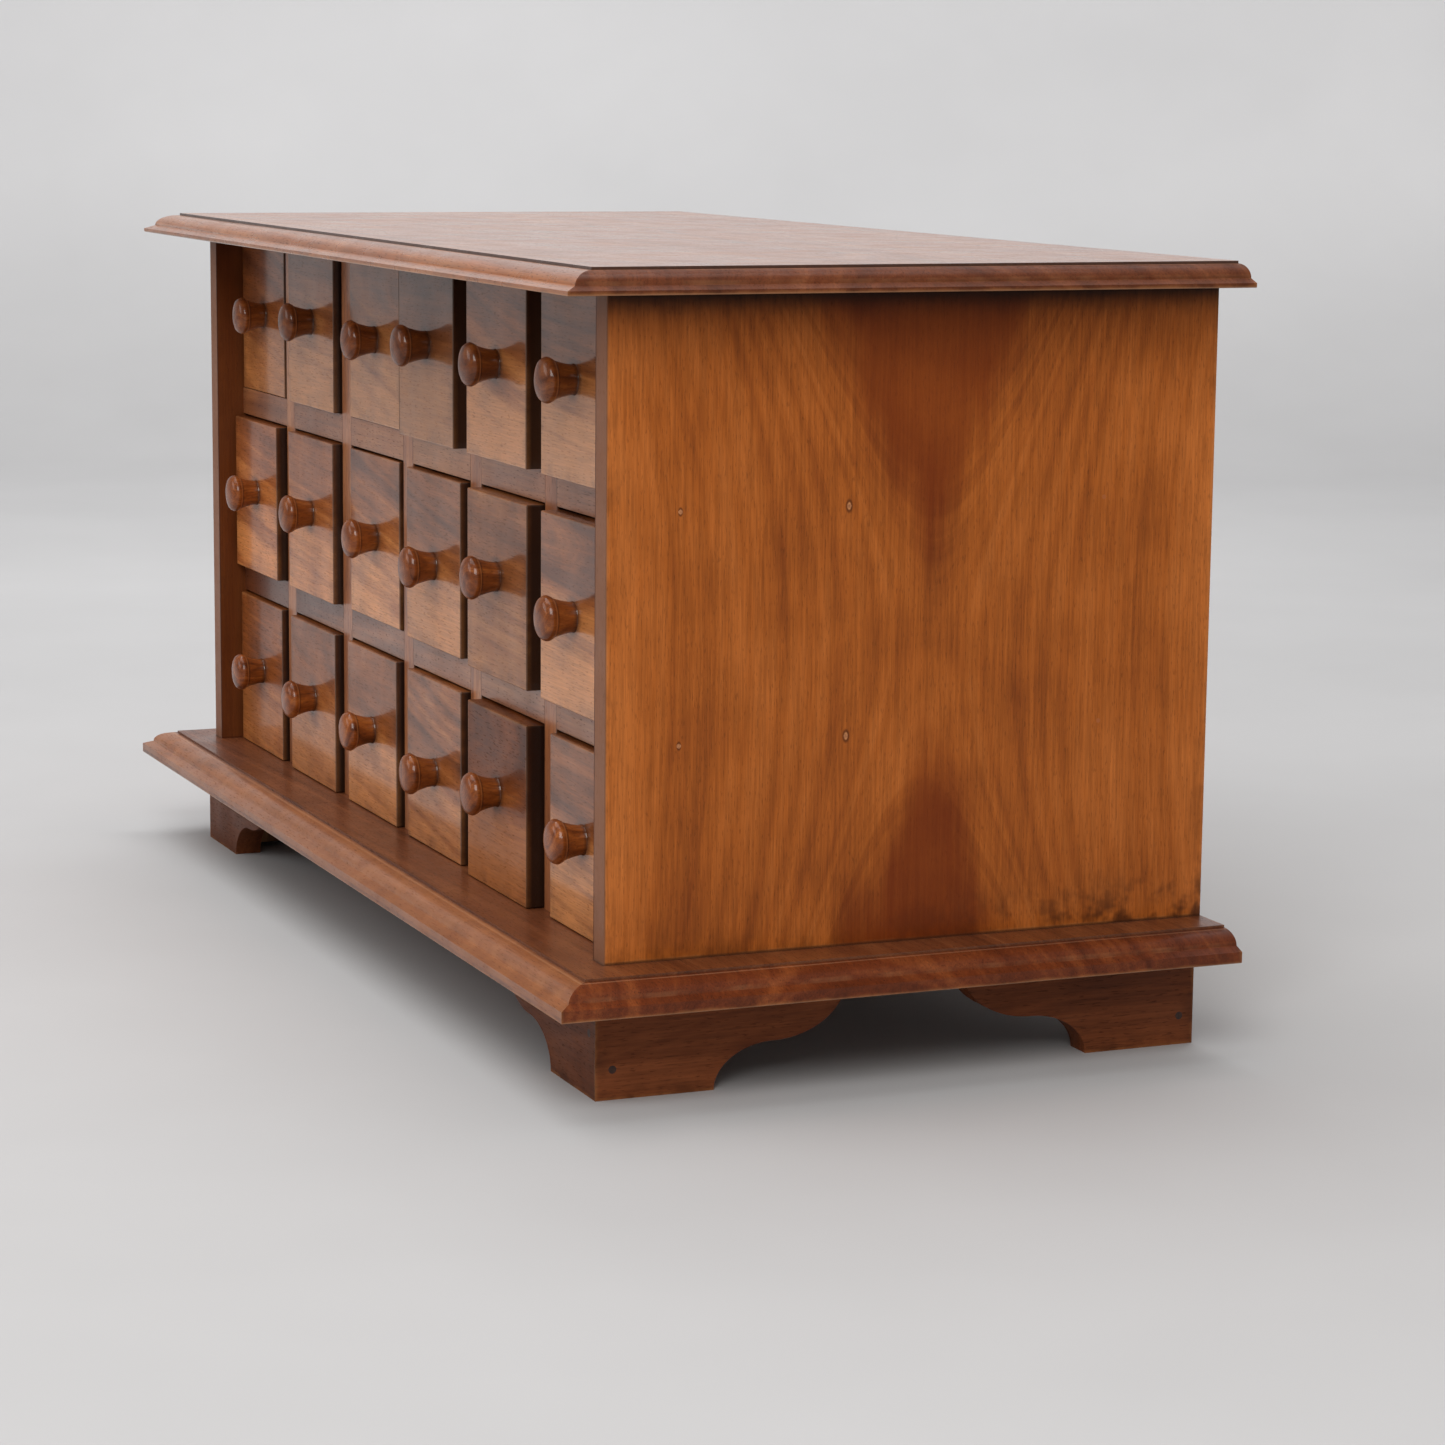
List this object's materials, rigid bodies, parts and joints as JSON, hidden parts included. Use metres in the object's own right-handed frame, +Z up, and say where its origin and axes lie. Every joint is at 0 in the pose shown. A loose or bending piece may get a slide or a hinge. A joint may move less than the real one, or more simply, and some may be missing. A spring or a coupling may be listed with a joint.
{
  "type": "card catalog cabinet",
  "caption": "Low walnut-coloured table-top cabinet with rows of near-square sliding drawers, turned wooden knobs, moulded top and base boards and bracket feet.",
  "frame": {"origin": "on the floor under the feet, in the middle of the overall width and depth", "axes": "+X to the right seen from the front, along the longest side; +Y towards the back; +Z up"},
  "size_m": [0.89, 0.4124, 0.4535],
  "materials": {
    "walnut_case": "semi-gloss varnish over walnut-brown hardwood",
    "walnut_drawer": "glossy varnished fronts, plain sides",
    "walnut_knob": "glossy varnish, turned",
    "walnut_foot": "worn satin varnish, darker stain",
    "inner_wood": "bare planed secondary wood",
    "dark_iron": "filled and darkened nail heads",
    "steel": "dull countersunk screws"
  },
  "bodies": {
    "case": {"back_panel": "inner_wood", "back_panel_screws": "steel", "base_board": "walnut_case", "divider_1": "walnut_case", "divider_2": "walnut_case", "divider_3": "walnut_case", "divider_4": "walnut_case", "divider_5": "walnut_case", "foot_glue_blocks": "inner_wood", "foot_pins": "dark_iron", "left_back_foot_face": "walnut_foot", "left_back_foot_side": "walnut_foot", "left_front_foot_face": "walnut_foot", "left_front_foot_side": "walnut_foot", "left_side_board": "walnut_case", "lower_shelf": "walnut_case", "right_back_foot_face": "walnut_foot", "right_back_foot_side": "walnut_foot", "right_front_foot_face": "walnut_foot", "right_front_foot_side": "walnut_foot", "right_side_board": "walnut_case", "shelf_nails": "dark_iron", "top_board": "walnut_case", "upper_shelf": "walnut_case"},
    "drawer_r1_c1": {"drawer_r1_c1_box": "walnut_drawer", "drawer_r1_c1_knob": "walnut_knob"},
    "drawer_r1_c2": {"drawer_r1_c2_box": "walnut_drawer", "drawer_r1_c2_knob": "walnut_knob"},
    "drawer_r1_c3": {"drawer_r1_c3_box": "walnut_drawer", "drawer_r1_c3_knob": "walnut_knob"},
    "drawer_r1_c4": {"drawer_r1_c4_box": "walnut_drawer", "drawer_r1_c4_knob": "walnut_knob"},
    "drawer_r1_c5": {"drawer_r1_c5_box": "walnut_drawer", "drawer_r1_c5_knob": "walnut_knob"},
    "drawer_r1_c6": {"drawer_r1_c6_box": "walnut_drawer", "drawer_r1_c6_knob": "walnut_knob"},
    "drawer_r2_c1": {"drawer_r2_c1_box": "walnut_drawer", "drawer_r2_c1_knob": "walnut_knob"},
    "drawer_r2_c2": {"drawer_r2_c2_box": "walnut_drawer", "drawer_r2_c2_knob": "walnut_knob"},
    "drawer_r2_c3": {"drawer_r2_c3_box": "walnut_drawer", "drawer_r2_c3_knob": "walnut_knob"},
    "drawer_r2_c4": {"drawer_r2_c4_box": "walnut_drawer", "drawer_r2_c4_knob": "walnut_knob"},
    "drawer_r2_c5": {"drawer_r2_c5_box": "walnut_drawer", "drawer_r2_c5_knob": "walnut_knob"},
    "drawer_r2_c6": {"drawer_r2_c6_box": "walnut_drawer", "drawer_r2_c6_knob": "walnut_knob"},
    "drawer_r3_c1": {"drawer_r3_c1_box": "walnut_drawer", "drawer_r3_c1_knob": "walnut_knob"},
    "drawer_r3_c2": {"drawer_r3_c2_box": "walnut_drawer", "drawer_r3_c2_knob": "walnut_knob"},
    "drawer_r3_c3": {"drawer_r3_c3_box": "walnut_drawer", "drawer_r3_c3_knob": "walnut_knob"},
    "drawer_r3_c4": {"drawer_r3_c4_box": "walnut_drawer", "drawer_r3_c4_knob": "walnut_knob"},
    "drawer_r3_c5": {"drawer_r3_c5_box": "walnut_drawer", "drawer_r3_c5_knob": "walnut_knob"},
    "drawer_r3_c6": {"drawer_r3_c6_box": "walnut_drawer", "drawer_r3_c6_knob": "walnut_knob"}
  },
  "joints": [
    {"name": "drawer_r1_c1_slide", "type": "slide", "parent": "case", "child": "drawer_r1_c1", "axis": [0, -1, 0], "range_m": [-0.0005, 0.3]},
    {"name": "drawer_r1_c2_slide", "type": "slide", "parent": "case", "child": "drawer_r1_c2", "axis": [0, -1, 0], "range_m": [-0.005, 0.3]},
    {"name": "drawer_r1_c3_slide", "type": "slide", "parent": "case", "child": "drawer_r1_c3", "axis": [0, -1, 0], "range_m": [-0.0015, 0.3]},
    {"name": "drawer_r1_c4_slide", "type": "slide", "parent": "case", "child": "drawer_r1_c4", "axis": [0, -1, 0], "range_m": [-0.01, 0.3]},
    {"name": "drawer_r1_c5_slide", "type": "slide", "parent": "case", "child": "drawer_r1_c5", "axis": [0, -1, 0], "range_m": [-0.0105, 0.3]},
    {"name": "drawer_r1_c6_slide", "type": "slide", "parent": "case", "child": "drawer_r1_c6", "axis": [0, -1, 0], "range_m": [-0.011, 0.3]},
    {"name": "drawer_r2_c1_slide", "type": "slide", "parent": "case", "child": "drawer_r2_c1", "axis": [0, -1, 0], "range_m": [-0.007, 0.3]},
    {"name": "drawer_r2_c2_slide", "type": "slide", "parent": "case", "child": "drawer_r2_c2", "axis": [0, -1, 0], "range_m": [-0.006, 0.3]},
    {"name": "drawer_r2_c3_slide", "type": "slide", "parent": "case", "child": "drawer_r2_c3", "axis": [0, -1, 0], "range_m": [-0.0018, 0.3]},
    {"name": "drawer_r2_c4_slide", "type": "slide", "parent": "case", "child": "drawer_r2_c4", "axis": [0, -1, 0], "range_m": [-0.0055, 0.3]},
    {"name": "drawer_r2_c5_slide", "type": "slide", "parent": "case", "child": "drawer_r2_c5", "axis": [0, -1, 0], "range_m": [-0.01, 0.3]},
    {"name": "drawer_r2_c6_slide", "type": "slide", "parent": "case", "child": "drawer_r2_c6", "axis": [0, -1, 0], "range_m": [-0.011, 0.3]},
    {"name": "drawer_r3_c1_slide", "type": "slide", "parent": "case", "child": "drawer_r3_c1", "axis": [0, -1, 0], "range_m": [-0.004, 0.3]},
    {"name": "drawer_r3_c2_slide", "type": "slide", "parent": "case", "child": "drawer_r3_c2", "axis": [0, -1, 0], "range_m": [-0.0052, 0.3]},
    {"name": "drawer_r3_c3_slide", "type": "slide", "parent": "case", "child": "drawer_r3_c3", "axis": [0, -1, 0], "range_m": [-0.0044, 0.3]},
    {"name": "drawer_r3_c4_slide", "type": "slide", "parent": "case", "child": "drawer_r3_c4", "axis": [0, -1, 0], "range_m": [-0.0054, 0.3]},
    {"name": "drawer_r3_c5_slide", "type": "slide", "parent": "case", "child": "drawer_r3_c5", "axis": [0, -1, 0], "range_m": [-0.0099, 0.3]},
    {"name": "drawer_r3_c6_slide", "type": "slide", "parent": "case", "child": "drawer_r3_c6", "axis": [0, -1, 0], "range_m": [-0.005, 0.3]}
  ]
}
